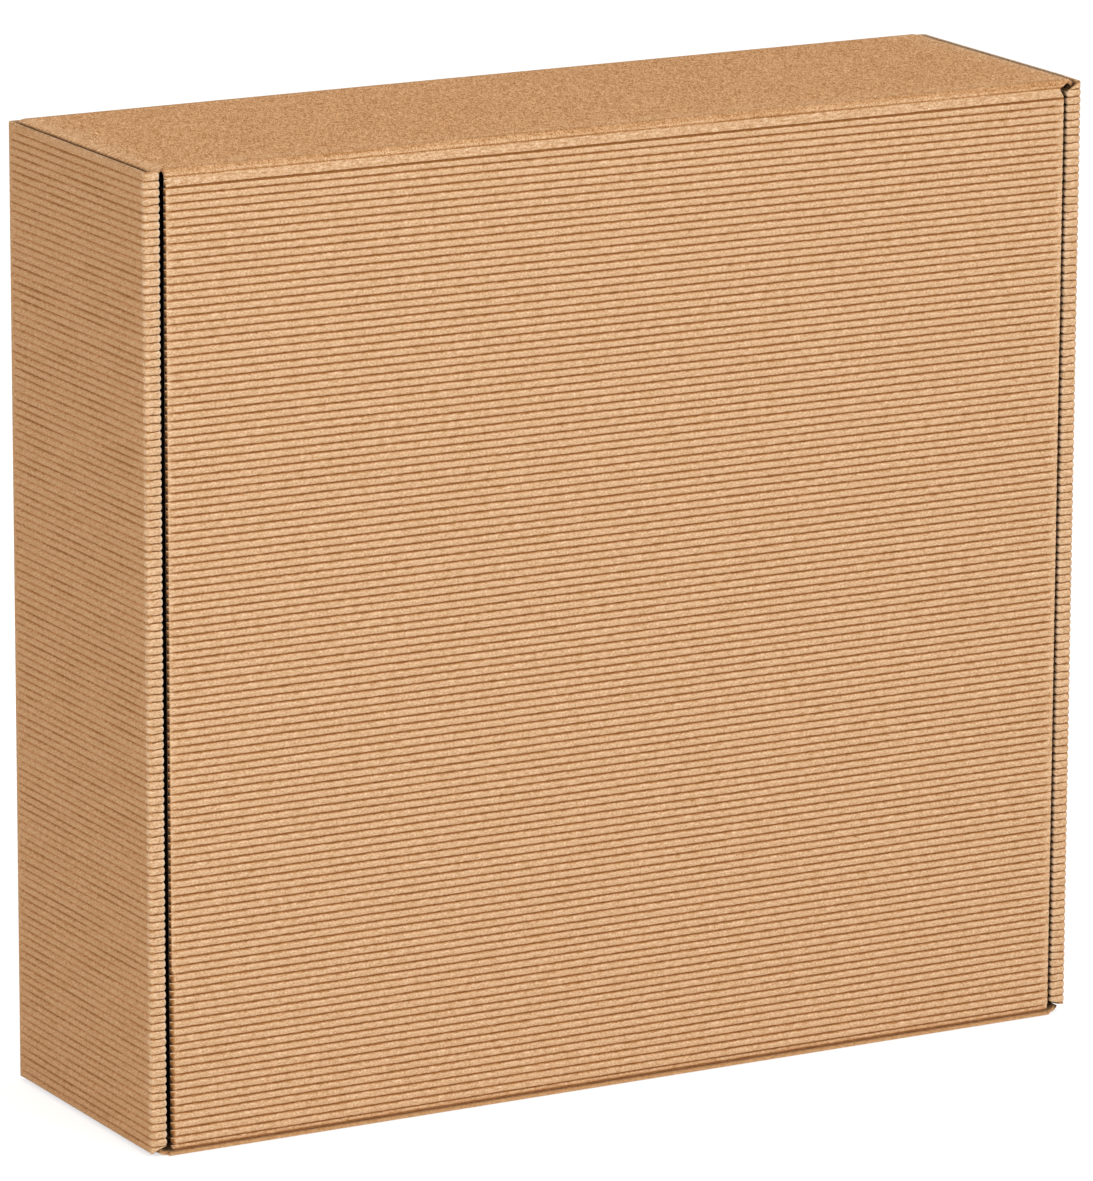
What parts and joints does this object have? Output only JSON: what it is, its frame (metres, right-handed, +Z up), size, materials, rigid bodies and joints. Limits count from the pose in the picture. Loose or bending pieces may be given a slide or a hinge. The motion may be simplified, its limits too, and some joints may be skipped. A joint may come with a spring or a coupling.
{
  "type": "cardboard mailing box",
  "caption": "Flat square mailing box folded from open-flute kraft board, standing closed, with a hinged tuck-in lid and roll-over side walls.",
  "frame": {"origin": "on the floor, in the middle of the box as it stands on its front wall", "axes": "+Z up, from the front wall to the rear wall; +Y from the lid to the base; +X along the hinge fold"},
  "size_m": [0.335, 0.097, 0.312],
  "materials": {
    "kraft_board": "uncoated natural kraft, open flutes outwards"
  },
  "bodies": {
    "tray": {"tray": "kraft_board"},
    "lid": {"lid": "kraft_board"}
  },
  "joints": [
    {"name": "lid_hinge", "type": "hinge", "parent": "tray", "child": "lid", "pos_m": [0, -0.04775, 0.31125], "axis": [-1, 0, 0], "range_deg": [0, 180]}
  ]
}
